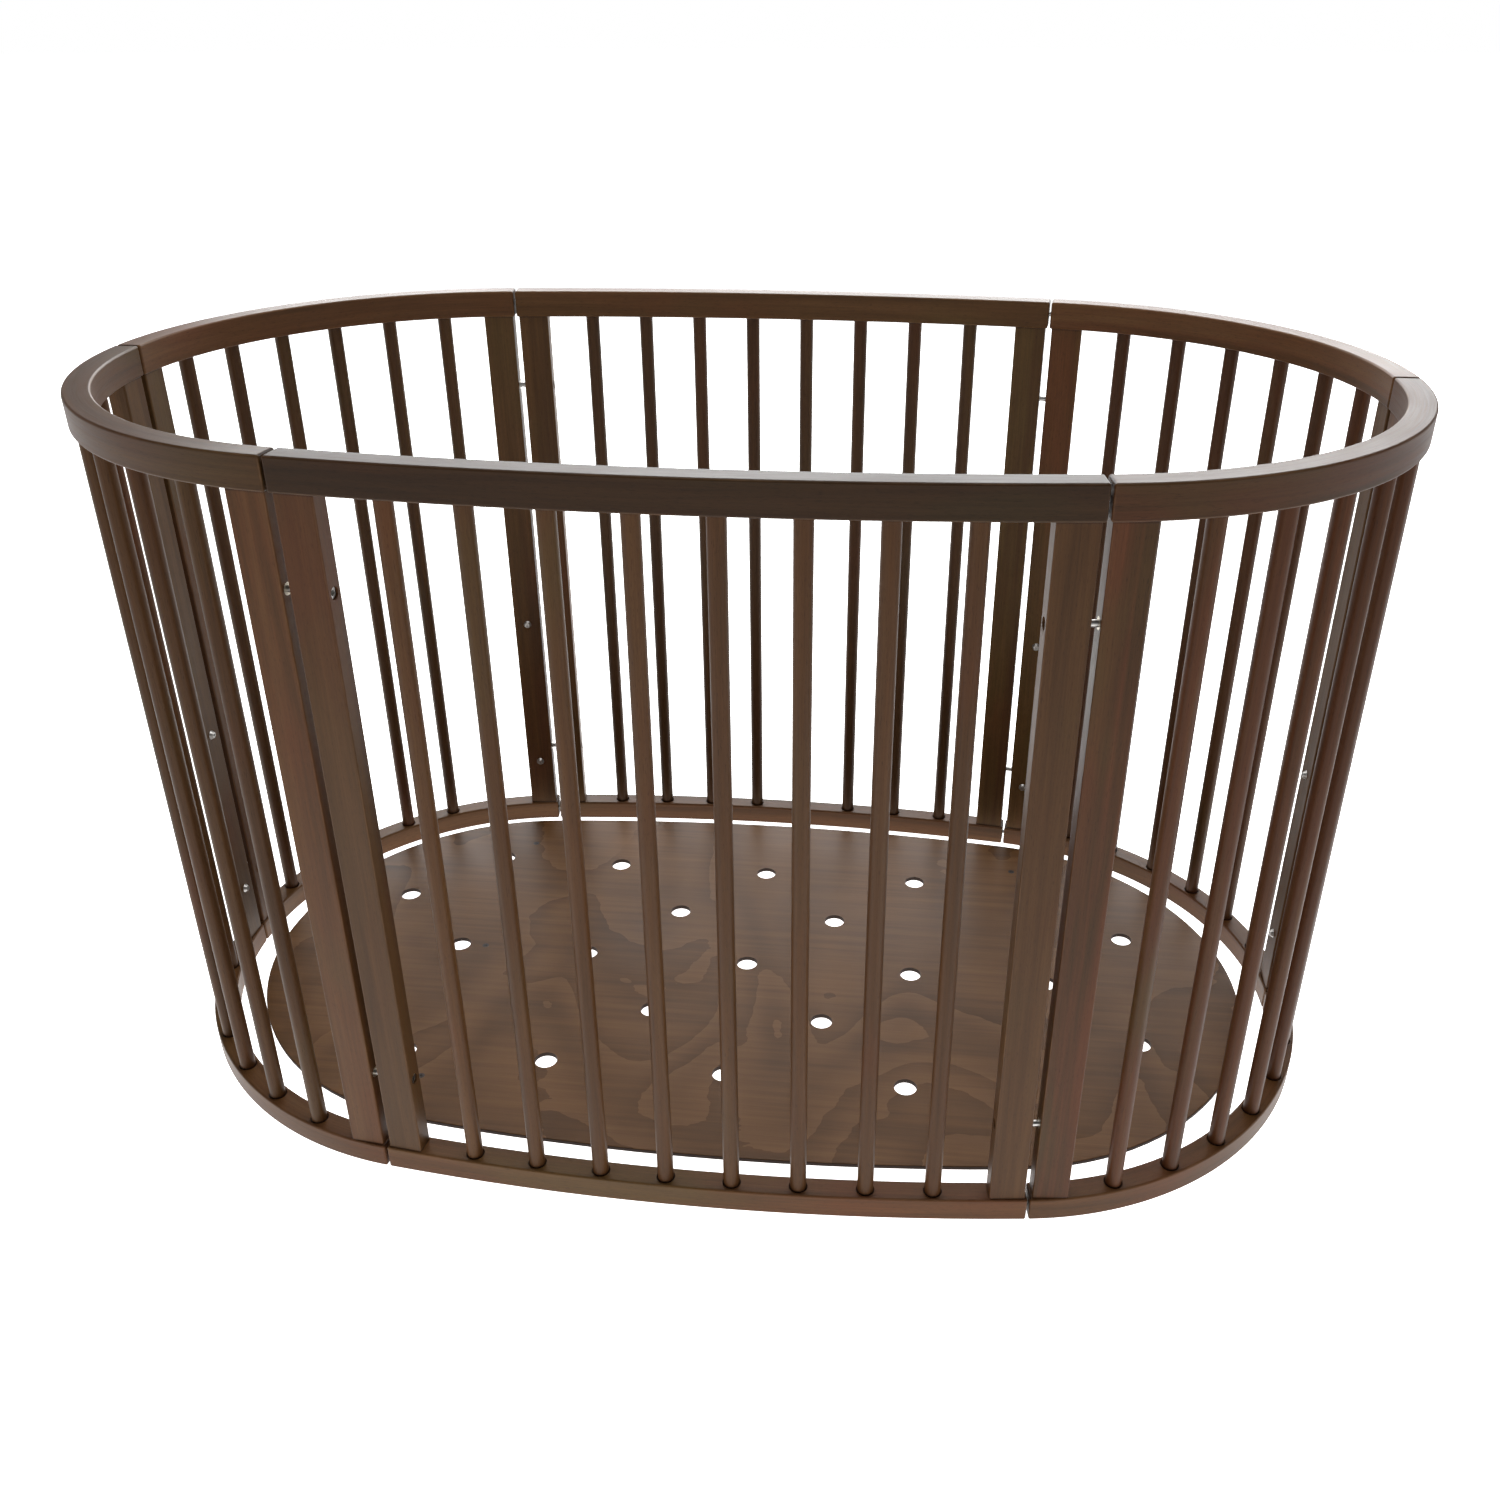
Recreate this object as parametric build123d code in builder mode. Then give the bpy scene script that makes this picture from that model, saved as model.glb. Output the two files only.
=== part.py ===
"""Oval wooden playpen: two bowed side panels, four quarter panels and a loose base board.

The frame has +Z up, +X along the length of the oval and the front side panel at -Y.
The origin is on the floor, in the middle of the oval.
"""

from build123d import *
import os
from math import asin, atan2, cos, degrees, radians, sin

os.makedirs("parts", exist_ok=True)

# Overall height of the frame
FRAME_HEIGHT = 745.0

# Plan of the oval, measured on the middle line of the rails
SIDE_CHORD = 646.0
SIDE_BOW = 20.0
QUARTER_RADIUS = 350.0

# Rails
RAIL_DEPTH = 25.0
TOP_RAIL_HEIGHT = 30.0
BOTTOM_RAIL_HEIGHT = 26.0
RAIL_EDGE = 2.2
RAIL_GAP = 2.5

# Stiles, the flat posts at both ends of every panel
STILE_WIDTH = 35.0
STILE_THICKNESS = 20.0
STILE_INSET = 2.5
STILE_EDGE = 1.8

# Round bars
BAR_RADIUS = 8.0
BAR_PITCH = 66.0
SIDE_BARS = 8
QUARTER_BARS = 6
BAR_BORE_RADIUS = 8.4
BAR_BORE_DEPTH = 15.0
BAR_BORE_MOUTH = 0.9
BAR_TENON = 14.6
BAR_CHAMFER = 1.0

# Wooden dowels between stiles and rails
DOWEL_RADIUS = 4.0
DOWEL_BORE_RADIUS = 4.1
DOWEL_REACH = 16.0
DOWEL_BORE_DEPTH = 16.5
DOWEL_DEPTHS = (20.0, 32.0)
DOWEL_CHAMFER = 0.8

# Alignment pins across the rail seams
PIN_RADIUS = 3.0
PIN_BORE_RADIUS = 3.1
PIN_REACH = 12.0
PIN_BORE_DEPTH = 12.5

# Bolts and threaded inserts that hold neighbouring panels together
SEAM_BOLT_HEIGHTS = (115.0, 630.0)
BOLT_RADIUS = 3.0
BOLT_HOLE_RADIUS = 3.4
BOLT_HEAD_RADIUS = 5.0
BOLT_HEAD_HEIGHT = 6.0
HEAD_BORE_RADIUS = 5.6
HEAD_BORE_DEPTH = 8.0
SOCKET_RADIUS = 2.9
SOCKET_DEPTH = 3.0
INSERT_RADIUS = 5.5
INSERT_BORE_RADIUS = 3.1
INSERT_LENGTH = 15.0
INSERT_HOLE_CLEARANCE = 0.1
BOLT_REACH = 12.0

# Spare support bolts for the raised base, parked in the quarter panels' stiles
LEVEL_HEIGHTS = (94.0, 307.0)
LEVEL_INSERT_RADIUS = 4.5
LEVEL_INSERT_LENGTH = 12.0
LEVEL_HEAD_RADIUS = 5.2
LEVEL_HEAD_HEIGHT = 3.2
LEVEL_BOLT_REACH = 10.0
LEVEL_HEAD_TAPER = 30.0
LEVEL_SOCKET_RADIUS = 1.9
LEVEL_SOCKET_DEPTH = 1.8

# Base board and the battens under it
BOARD_GAP = 31.0
BOARD_THICKNESS = 5.0
BOARD_EDGE = 1.0
BATTEN_WIDTH = 30.0
BATTEN_LENGTH = 540.0
BATTEN_THICKNESS = 10.0
BATTEN_X = 330.0
BATTEN_EDGE = 1.5
VENT_RADIUS = 12.5
VENT_PITCH = 100.0
VENT_OUTER_X = 362.0
VENT_FAR_X = 462.0
SCREW_SPACING = 240.0
SCREW_RADIUS = 2.0
SCREW_HEAD_RADIUS = 4.0
SCREW_HOLE_CLEARANCE = 0.1
SCREW_LENGTH = 12.0
SCREW_HEAD_ANGLE = 90.0
SCREW_SLOT_WIDTH = 0.9
SCREW_SLOT_DEPTH = 0.8

# Derived plan geometry: side arcs and quarter arcs meet with a common tangent
SIDE_RADIUS = (SIDE_CHORD**2 / 4 + SIDE_BOW**2) / (2 * SIDE_BOW)
SIDE_HALF_ANGLE = degrees(asin(SIDE_CHORD / 2 / SIDE_RADIUS))
SEAM_Y = QUARTER_RADIUS * cos(radians(SIDE_HALF_ANGLE))
QUARTER_CENTER_X = SIDE_CHORD / 2 - QUARTER_RADIUS * sin(radians(SIDE_HALF_ANGLE))
SIDE_CENTER_Y = SIDE_RADIUS - SEAM_Y - SIDE_BOW
QUARTER_SWEEP = 90 - SIDE_HALF_ANGLE

# Derived heights
STILE_BOTTOM = BOTTOM_RAIL_HEIGHT
STILE_TOP = FRAME_HEIGHT - TOP_RAIL_HEIGHT
STILE_NEAR = RAIL_GAP / 2 + STILE_INSET
STILE_FAR = STILE_NEAR + STILE_WIDTH
STILE_MIDDLE = STILE_NEAR + STILE_WIDTH / 2
TOP_RAIL_MIDDLE = FRAME_HEIGHT - TOP_RAIL_HEIGHT / 2
BOTTOM_RAIL_MIDDLE = BOTTOM_RAIL_HEIGHT / 2
BOARD_TOP = BATTEN_THICKNESS + BOARD_THICKNESS


class Arc:
    """Middle line of one panel in plan, running anticlockwise from start to end."""

    def __init__(self, center, radius, start, sweep):
        self.center = center
        self.radius = radius
        self.start = start
        self.sweep = sweep
        self.length = radians(sweep) * radius

    def angle(self, run):
        """Direction in degrees from the centre to the point a distance run from the start."""
        return self.start + degrees(run / self.radius)

    def point(self, run, out=0.0):
        """Plan point a distance run from the start, and out beyond the middle line."""
        turn = radians(self.angle(run))
        reach = self.radius + out
        return (self.center[0] + reach * cos(turn), self.center[1] + reach * sin(turn))


class End:
    """One end of a panel: the seam point, the way into the panel and the way out of the pen."""

    def __init__(self, arc, at_start):
        turn = radians(arc.start if at_start else arc.start + arc.sweep)
        side = 1 if at_start else -1
        self.arc = arc
        self.outward = (cos(turn), sin(turn))
        self.inward = (-sin(turn) * side, cos(turn) * side)
        self.seam = arc.point(0 if at_start else arc.length)

    def place(self, depth, out=0.0):
        """Plan point at a depth into the panel from the seam, and out beyond the middle line."""
        x = self.seam[0] + depth * self.inward[0] + out * self.outward[0]
        y = self.seam[1] + depth * self.inward[1] + out * self.outward[1]
        return (x, y)

    def stile_shift(self):
        """How far the arc has curved inward at the middle of the stile."""
        return STILE_MIDDLE**2 / (2 * self.arc.radius)

    def dowel_points(self):
        """Plan points of the two dowels in each end of the stile."""
        return [self.place(depth, -self.stile_shift()) for depth in DOWEL_DEPTHS]

    def along(self, depth, height):
        """Plane square to the panel, at a depth from the seam, that faces into the panel."""
        x, y = self.place(depth)
        return Plane(origin=(x, y, height), x_dir=(*self.outward, 0), z_dir=(*self.inward, 0))

    def stile_face(self, height):
        """Plane on the stile's face towards the pen, facing the inside of the pen."""
        x, y = self.place(STILE_MIDDLE, -self.stile_shift() - STILE_THICKNESS / 2)
        facing = (-self.outward[0], -self.outward[1], 0)
        return Plane(origin=(x, y, height), x_dir=(*self.inward, 0), z_dir=facing)


FRONT = Arc((0, SIDE_CENTER_Y), SIDE_RADIUS, -90 - SIDE_HALF_ANGLE, 2 * SIDE_HALF_ANGLE)
BACK = Arc((0, -SIDE_CENTER_Y), SIDE_RADIUS, 90 - SIDE_HALF_ANGLE, 2 * SIDE_HALF_ANGLE)
FRONT_RIGHT = Arc((QUARTER_CENTER_X, 0), QUARTER_RADIUS, SIDE_HALF_ANGLE - 90, QUARTER_SWEEP)
BACK_RIGHT = Arc((QUARTER_CENTER_X, 0), QUARTER_RADIUS, 0, QUARTER_SWEEP)
BACK_LEFT = Arc((-QUARTER_CENTER_X, 0), QUARTER_RADIUS, 90 + SIDE_HALF_ANGLE, QUARTER_SWEEP)
FRONT_LEFT = Arc((-QUARTER_CENTER_X, 0), QUARTER_RADIUS, 180, QUARTER_SWEEP)

# Every panel: its name, its arc, its number of bars and the names of its two ends
PANELS = (
    ("front_panel", FRONT, SIDE_BARS, "left", "right"),
    ("back_panel", BACK, SIDE_BARS, "right", "left"),
    ("front_right_quarter", FRONT_RIGHT, QUARTER_BARS, "side", "end"),
    ("back_right_quarter", BACK_RIGHT, QUARTER_BARS, "end", "side"),
    ("back_left_quarter", BACK_LEFT, QUARTER_BARS, "side", "end"),
    ("front_left_quarter", FRONT_LEFT, QUARTER_BARS, "end", "side"),
)

# Every seam: its name, the end with the bolt heads and the end with the inserts
SEAMS = (
    ("front_left", End(FRONT, True), End(FRONT_LEFT, False)),
    ("front_right", End(FRONT, False), End(FRONT_RIGHT, True)),
    ("back_right", End(BACK, True), End(BACK_RIGHT, False)),
    ("back_left", End(BACK, False), End(BACK_LEFT, True)),
    ("left", End(FRONT_LEFT, True), End(BACK_LEFT, False)),
    ("right", End(FRONT_RIGHT, False), End(BACK_RIGHT, True)),
)


def finish(piece, name):
    """Label a finished piece and write it to its own file."""
    piece.part.label = name
    export_step(piece.part, f"parts/{name}.step")


def bar_points(arc, count):
    """Plan points of a panel's bars, evenly spaced about its middle."""
    first = arc.length / 2 - BAR_PITCH * (count - 1) / 2
    return [arc.point(first + BAR_PITCH * index) for index in range(count)]


def dowel_points(arc):
    """Plan points of the dowels that join both stiles of a panel to its rails."""
    return End(arc, True).dowel_points() + End(arc, False).dowel_points()


def draw_circles(points, radius):
    """Equal circles at the given plan points."""
    with Locations(*points):
        Circle(radius)


def build_rail(name, arc, count, bottom, height, joint_height, into):
    """Curved rail with blind bores for the dowels and seam pins, and chamfered ones for the bars."""
    trim = degrees(RAIL_GAP / 2 / arc.radius)
    start = arc.start + trim
    sweep = arc.sweep - 2 * trim
    with BuildPart() as rail:
        with BuildSketch(Plane.XY.offset(bottom)):
            with BuildLine():
                outer = CenterArc(arc.center, arc.radius + RAIL_DEPTH / 2, start, sweep)
                inner = CenterArc(arc.center, arc.radius - RAIL_DEPTH / 2, start, sweep)
                Line(outer @ 0, inner @ 0)
                Line(outer @ 1, inner @ 1)
            make_face()
        extrude(amount=height)
        fillet(rail.edges(), RAIL_EDGE)
        with BuildSketch(Plane.XY.offset(joint_height)):
            draw_circles(bar_points(arc, count), BAR_BORE_RADIUS)
        extrude(amount=BAR_BORE_DEPTH * into, mode=Mode.SUBTRACT)
        mouths = rail.edges(Select.LAST).filter_by_position(Axis.Z, joint_height, joint_height)
        chamfer(mouths, BAR_BORE_MOUTH)
        with BuildSketch(Plane.XY.offset(joint_height)):
            draw_circles(dowel_points(arc), DOWEL_BORE_RADIUS)
        extrude(amount=DOWEL_BORE_DEPTH * into, mode=Mode.SUBTRACT)
        for at_start in (True, False):
            with BuildSketch(End(arc, at_start).along(0, bottom + height / 2)):
                Circle(PIN_BORE_RADIUS)
            extrude(amount=RAIL_GAP / 2 + PIN_BORE_DEPTH, mode=Mode.SUBTRACT)
    finish(rail, name)


def build_stile(name, end, has_bolt_heads, has_levels):
    """Flat post with its dowel bores, the seam's bolt bores and the level bores."""
    middle = end.place(STILE_MIDDLE, -end.stile_shift())
    turn = degrees(atan2(end.inward[1], end.inward[0]))
    with BuildPart() as stile:
        with BuildSketch(Plane.XY.offset(STILE_BOTTOM)):
            with Locations(middle):
                Rectangle(STILE_WIDTH, STILE_THICKNESS, rotation=turn)
        extrude(amount=STILE_TOP - STILE_BOTTOM)
        fillet(stile.edges().filter_by(Axis.Z), STILE_EDGE)
        for height, into in ((STILE_BOTTOM, 1), (STILE_TOP, -1)):
            with BuildSketch(Plane.XY.offset(height)):
                draw_circles(end.dowel_points(), DOWEL_BORE_RADIUS)
            extrude(amount=DOWEL_BORE_DEPTH * into, mode=Mode.SUBTRACT)
        for height in SEAM_BOLT_HEIGHTS:
            if has_bolt_heads:
                with BuildSketch(end.along(0, height)):
                    Circle(BOLT_HOLE_RADIUS)
                extrude(amount=STILE_FAR + 1, mode=Mode.SUBTRACT)
                with BuildSketch(end.along(STILE_FAR - HEAD_BORE_DEPTH, height)):
                    Circle(HEAD_BORE_RADIUS)
                extrude(amount=HEAD_BORE_DEPTH + 1, mode=Mode.SUBTRACT)
            else:
                with BuildSketch(end.along(0, height)):
                    Circle(INSERT_RADIUS + INSERT_HOLE_CLEARANCE)
                extrude(amount=STILE_NEAR + INSERT_LENGTH + INSERT_HOLE_CLEARANCE, mode=Mode.SUBTRACT)
        if has_levels:
            for height in LEVEL_HEIGHTS:
                with BuildSketch(end.stile_face(height)):
                    Circle(LEVEL_INSERT_RADIUS + INSERT_HOLE_CLEARANCE)
                extrude(amount=-LEVEL_INSERT_LENGTH - INSERT_HOLE_CLEARANCE, mode=Mode.SUBTRACT)
    finish(stile, name)


def build_bars(name, arc, count):
    """Round bars of one panel, with their ends seated in both rails."""
    bottom = STILE_BOTTOM - BAR_TENON
    with BuildPart() as bars:
        with BuildSketch(Plane.XY.offset(bottom)):
            draw_circles(bar_points(arc, count), BAR_RADIUS)
        extrude(amount=STILE_TOP + BAR_TENON - bottom)
        chamfer(bars.edges().filter_by(GeomType.CIRCLE), BAR_CHAMFER)
    finish(bars, name)


def build_dowels(name, arc):
    """Wooden dowels of one panel, half in the stiles and half in the rails."""
    with BuildPart() as dowels:
        for joint_height in (STILE_BOTTOM, STILE_TOP):
            with BuildSketch(Plane.XY.offset(joint_height - DOWEL_REACH)):
                draw_circles(dowel_points(arc), DOWEL_RADIUS)
            extrude(amount=2 * DOWEL_REACH)
        chamfer(dowels.edges().filter_by(GeomType.CIRCLE), DOWEL_CHAMFER)
    finish(dowels, name)


def build_panel(name, arc, count, first_end, last_end):
    """All the pieces of one panel."""
    is_quarter = count == QUARTER_BARS
    build_rail(f"{name}_top_rail", arc, count, STILE_TOP, TOP_RAIL_HEIGHT, STILE_TOP, 1)
    build_rail(f"{name}_bottom_rail", arc, count, 0, BOTTOM_RAIL_HEIGHT, STILE_BOTTOM, -1)
    for end_name, at_start in ((first_end, True), (last_end, False)):
        end = End(arc, at_start)
        front_of_pen = arc in (FRONT_RIGHT, FRONT_LEFT) and end_name == "end"
        has_bolt_heads = front_of_pen or not is_quarter
        build_stile(f"{name}_{end_name}_stile", end, has_bolt_heads, is_quarter)
    build_bars(f"{name}_bars", arc, count)
    build_dowels(f"{name}_dowels", arc)


def build_seam_bolts(name, head_end):
    """Socket-head bolts through the first stile and the gap into the second stile's inserts."""
    head_seat = STILE_FAR - HEAD_BORE_DEPTH
    with BuildPart() as bolts:
        for height in SEAM_BOLT_HEIGHTS:
            with BuildSketch(head_end.along(-STILE_NEAR - BOLT_REACH, height)):
                Circle(BOLT_RADIUS)
            extrude(amount=STILE_NEAR + BOLT_REACH + head_seat)
            with BuildSketch(head_end.along(head_seat, height)):
                Circle(BOLT_HEAD_RADIUS)
            extrude(amount=BOLT_HEAD_HEIGHT)
            with BuildSketch(head_end.along(head_seat + BOLT_HEAD_HEIGHT, height)):
                RegularPolygon(SOCKET_RADIUS, 6)
            extrude(amount=-SOCKET_DEPTH, mode=Mode.SUBTRACT)
    finish(bolts, name)


def build_seam_inserts(name, insert_end):
    """Threaded inserts in the second stile's seam face."""
    with BuildPart() as inserts:
        for height in SEAM_BOLT_HEIGHTS:
            with BuildSketch(insert_end.along(STILE_NEAR, height)):
                Circle(INSERT_RADIUS)
                Circle(INSERT_BORE_RADIUS, mode=Mode.SUBTRACT)
            extrude(amount=INSERT_LENGTH)
    finish(inserts, name)


def build_rail_pins():
    """Steel pins that line up the rails across every seam, top and bottom."""
    with BuildPart() as pins:
        for _, end, _ in SEAMS:
            for height in (BOTTOM_RAIL_MIDDLE, TOP_RAIL_MIDDLE):
                reach = RAIL_GAP / 2 + PIN_REACH
                with BuildSketch(end.along(-reach, height)):
                    Circle(PIN_RADIUS)
                extrude(amount=2 * reach)
    finish(pins, "rail_pins")


def quarter_ends():
    """Both ends of all four quarter panels."""
    quarters = (FRONT_RIGHT, BACK_RIGHT, BACK_LEFT, FRONT_LEFT)
    return [End(arc, at_start) for arc in quarters for at_start in (True, False)]


def build_level_inserts():
    """Threaded inserts in the quarter panels' stiles, at the two raised base levels."""
    with BuildPart() as inserts:
        for end in quarter_ends():
            for height in LEVEL_HEIGHTS:
                with BuildSketch(end.stile_face(height)):
                    Circle(LEVEL_INSERT_RADIUS)
                    Circle(INSERT_BORE_RADIUS, mode=Mode.SUBTRACT)
                extrude(amount=-LEVEL_INSERT_LENGTH)
    finish(inserts, "level_inserts")


def build_level_bolts():
    """Button-head bolts parked in the level inserts."""
    with BuildPart() as bolts:
        for end in quarter_ends():
            for height in LEVEL_HEIGHTS:
                face = end.stile_face(height)
                with BuildSketch(face):
                    Circle(BOLT_RADIUS)
                extrude(amount=-LEVEL_BOLT_REACH)
                with BuildSketch(face):
                    Circle(LEVEL_HEAD_RADIUS)
                extrude(amount=LEVEL_HEAD_HEIGHT, taper=LEVEL_HEAD_TAPER)
                with BuildSketch(face.offset(LEVEL_HEAD_HEIGHT)):
                    RegularPolygon(LEVEL_SOCKET_RADIUS, 6)
                extrude(amount=-LEVEL_SOCKET_DEPTH, mode=Mode.SUBTRACT)
    finish(bolts, "level_bolts")


def vent_points():
    """Centres of the staggered ventilation holes, row by row across the board."""
    points = []
    for row in (-2, 0, 2):
        for x in (-VENT_OUTER_X, -2 * VENT_PITCH, 0, 2 * VENT_PITCH, VENT_OUTER_X):
            points.append((x, row * VENT_PITCH))
    for row in (-1, 1):
        for x in (-VENT_FAR_X, -VENT_PITCH, VENT_PITCH, VENT_FAR_X):
            points.append((x, row * VENT_PITCH))
    return points


def screw_points():
    """Centres of the screws, three along each batten."""
    return [(x, y) for x in (-BATTEN_X, BATTEN_X) for y in (-SCREW_SPACING, 0, SCREW_SPACING)]


def build_base_board():
    """Oval plywood base with ventilation holes and countersunk screw holes."""
    inset = RAIL_DEPTH / 2 + BOARD_GAP
    with BuildPart() as board:
        with BuildSketch(Plane.XY.offset(BATTEN_THICKNESS)):
            with BuildLine():
                for _, arc, *_ in PANELS:
                    CenterArc(arc.center, arc.radius - inset, arc.start, arc.sweep)
            make_face()
        extrude(amount=BOARD_THICKNESS)
        fillet(board.edges(), BOARD_EDGE)
        with BuildSketch(Plane.XY.offset(BATTEN_THICKNESS)):
            draw_circles(vent_points(), VENT_RADIUS)
        extrude(amount=BOARD_THICKNESS, mode=Mode.SUBTRACT)
        with Locations(*[(x, y, BOARD_TOP) for x, y in screw_points()]):
            CounterSinkHole(
                radius=SCREW_RADIUS + SCREW_HOLE_CLEARANCE,
                counter_sink_radius=SCREW_HEAD_RADIUS + SCREW_HOLE_CLEARANCE,
                depth=BOARD_THICKNESS,
                counter_sink_angle=SCREW_HEAD_ANGLE,
            )
    finish(board, "base_board")


def build_batten(name, x):
    """Strip under the board, across the oval, with pilot bores for its screws."""
    pilot_depth = SCREW_LENGTH - BOARD_THICKNESS + 2 * SCREW_HOLE_CLEARANCE
    with BuildPart() as batten:
        with BuildSketch():
            with Locations((x, 0)):
                Rectangle(BATTEN_WIDTH, BATTEN_LENGTH)
        extrude(amount=BATTEN_THICKNESS)
        fillet(batten.edges().filter_by(Axis.Z), BATTEN_EDGE)
        with BuildSketch(Plane.XY.offset(BATTEN_THICKNESS)):
            with Locations((x, 0)):
                with GridLocations(0, SCREW_SPACING, 1, 3):
                    Circle(SCREW_RADIUS + SCREW_HOLE_CLEARANCE)
        extrude(amount=-pilot_depth, mode=Mode.SUBTRACT)
    finish(batten, name)


def build_batten_screws():
    """Countersunk screws from the board into the battens."""
    head_depth = SCREW_HEAD_RADIUS - SCREW_RADIUS
    with BuildPart() as screws:
        with BuildSketch(Plane.XY.offset(BOARD_TOP - SCREW_LENGTH)):
            draw_circles(screw_points(), SCREW_RADIUS)
        extrude(amount=SCREW_LENGTH - head_depth)
        for point in screw_points():
            with BuildSketch(Plane.XY.offset(BOARD_TOP - head_depth)):
                with Locations(point):
                    Circle(SCREW_RADIUS)
            with BuildSketch(Plane.XY.offset(BOARD_TOP)):
                with Locations(point):
                    Circle(SCREW_HEAD_RADIUS)
            loft()
        with BuildSketch(Plane.XY.offset(BOARD_TOP)):
            with Locations(*screw_points()):
                Rectangle(2 * SCREW_RADIUS, SCREW_SLOT_WIDTH)
                Rectangle(SCREW_SLOT_WIDTH, 2 * SCREW_RADIUS)
        extrude(amount=-SCREW_SLOT_DEPTH, mode=Mode.SUBTRACT)
    finish(screws, "batten_screws")


for panel in PANELS:
    build_panel(*panel)

for seam_name, heads, threads in SEAMS:
    build_seam_bolts(f"{seam_name}_seam_bolts", heads)
    build_seam_inserts(f"{seam_name}_seam_inserts", threads)

build_rail_pins()
build_level_inserts()
build_level_bolts()
build_base_board()
build_batten("left_batten", -BATTEN_X)
build_batten("right_batten", BATTEN_X)
build_batten_screws()
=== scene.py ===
"""Looks of an oval wooden playpen: walnut-stained beech frame, plywood base board and steel hardware."""

import math
import random

import bpy
from mathutils import Matrix, Vector


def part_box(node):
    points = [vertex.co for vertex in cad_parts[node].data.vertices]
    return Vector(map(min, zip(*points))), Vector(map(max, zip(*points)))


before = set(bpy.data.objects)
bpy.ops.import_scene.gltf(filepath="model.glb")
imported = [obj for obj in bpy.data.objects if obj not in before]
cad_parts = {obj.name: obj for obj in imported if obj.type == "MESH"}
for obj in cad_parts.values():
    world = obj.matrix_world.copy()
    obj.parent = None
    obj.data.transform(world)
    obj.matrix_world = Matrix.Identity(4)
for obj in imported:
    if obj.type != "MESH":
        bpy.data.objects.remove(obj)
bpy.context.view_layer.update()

bl_info = {
    "name": "Oval Playpen Finishes",
    "version": (1, 0, 0),
    "blender": (4, 5, 0),
    "location": "3D View > Sidebar > Playpen",
    "description": "Stains the wood of an oval playpen, finishes its hardware and sets its studio",
    "category": "Material",
}

# Plan of the frame, in metres: radii of the rails' middle lines and the rails' own section
SIDE_RADIUS = 2.618
QUARTER_RADIUS = 0.350
RAIL_DEPTH = 0.025
RAIL_EDGE = 0.0022

SIDE_PANELS = ("front_panel", "back_panel")
QUARTER_PANELS = (
    "front_right_quarter",
    "back_right_quarter",
    "back_left_quarter",
    "front_left_quarter",
)
SEAMS = ("front_left", "front_right", "back_right", "back_left", "left", "right")

# Heights where the bars and stiles meet the rails
RAIL_LOW_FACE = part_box("front_panel_bottom_rail")[1].z
RAIL_HIGH_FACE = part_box("front_panel_top_rail")[0].z

# Brightness and hue of the stain on single pieces: below 0 greenish, above 0 reddish; the brightness is
# partly painted shade
TONES_AND_SHADE = {
    # Painted shade and light: the front top rails are darkened and the front bottom rail lightened, so the
    # pen is darker high up and lighter low down
    "front_panel_top_rail": (0.38, 0.0),
    "front_panel_bottom_rail": (1.12, 0.35),
    "front_panel_left_stile": (0.80, -0.15),
    "front_panel_right_stile": (0.80, 0.05),
    "front_left_quarter_top_rail": (0.70, 0.25),
    "front_left_quarter_bottom_rail": (1.00, 0.15),
    "front_right_quarter_top_rail": (0.62, 0.75),
    "front_right_quarter_bottom_rail": (1.05, 0.20),
    "back_panel_top_rail": (1.00, -0.10),
    "back_right_quarter_top_rail": (1.06, 0.40),
    "back_left_quarter_top_rail": (0.98, 0.25),
    "front_panel_bars": (0.96, 0.15),
    "front_left_quarter_bars": (0.88, 0.10),
    "front_right_quarter_bars": (0.82, 0.85),
    "back_panel_bars": (0.78, 0.05),
    "back_left_quarter_bars": (0.84, 0.10),
    "back_right_quarter_bars": (0.80, 0.55),
    "front_left_quarter_side_stile": (0.98, 0.35),
    "front_right_quarter_side_stile": (0.84, 0.95),
    "back_panel_left_stile": (0.95, -0.20),
    "back_panel_right_stile": (1.05, -0.70),
}

# First seed of each kind of piece, and how far the seed of a piece's tone lies from its own
RAIL_SEEDS = {"top_rail": 10, "bottom_rail": 20}
STILE_SEED = 30
BAR_SEED = 50
BATTEN_SEED = 60
TONE_SEED = 50

# Patterns in the solid wood: repeats per metre along the grain and across it
STREAKS = (1.8, 62.0)
FIBRES = (16.0, 620.0)
FLECKS = (150.0, 1500.0)
CLOUDS = (3.4, 9.0)
RUBBING_AND_HIGHLIGHT = (14.0, 40.0)
RIPPLES = (9.0, 60.0)
GRAIN_SHIFT = 9.0
BAR_SHIFT = 17.0

# Patterns in the veneer: repeats per metre along the pen and across it, and the slice of the noise
VENEER_FIGURE = (5.2, 2.3, 7.3)
VENEER_JITTER = (17.0, 34.0, 2.0)
VENEER_CLOUDS = (3.1, 4.2, 4.1)
VENEER_STREAKS = (2.6, 105.0, 1.0)
VENEER_FIBRES = (30.0, 900.0, 0.5)

# Patterns in the dowels' bare beech, in the metal and in the floor, in the same measure
BEECH_FIBRES = (20.0, 700.0)
BEECH_FLECKS = (160.0, 1300.0)
METAL_MOTTLE = 260.0
METAL_MARKS = 2600.0
FLOOR_CLOUDS = 1.3

# Middle part of a noise, which holds nearly all of its values
NOISE_SPAN = (0.3, 0.7)

# How far a surface turns away from flat where an edge starts and where it is fully rounded
EDGE_TURN = (0.015, 0.2)

# Strength of the painted shade in the bore mouths, on the stiles and on the bars
RAIL_JOINT_SHADE = 0.85
STILE_JOINT_SHADE = 0.6
BAR_JOINT_SHADE = 0.8

# Depth of the relief, in metres
FIBRE_RELIEF = 0.0002
RIPPLE_RELIEF = 0.0006
VENEER_RELIEF = 0.004
METAL_RELIEF = 0.00005

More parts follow.
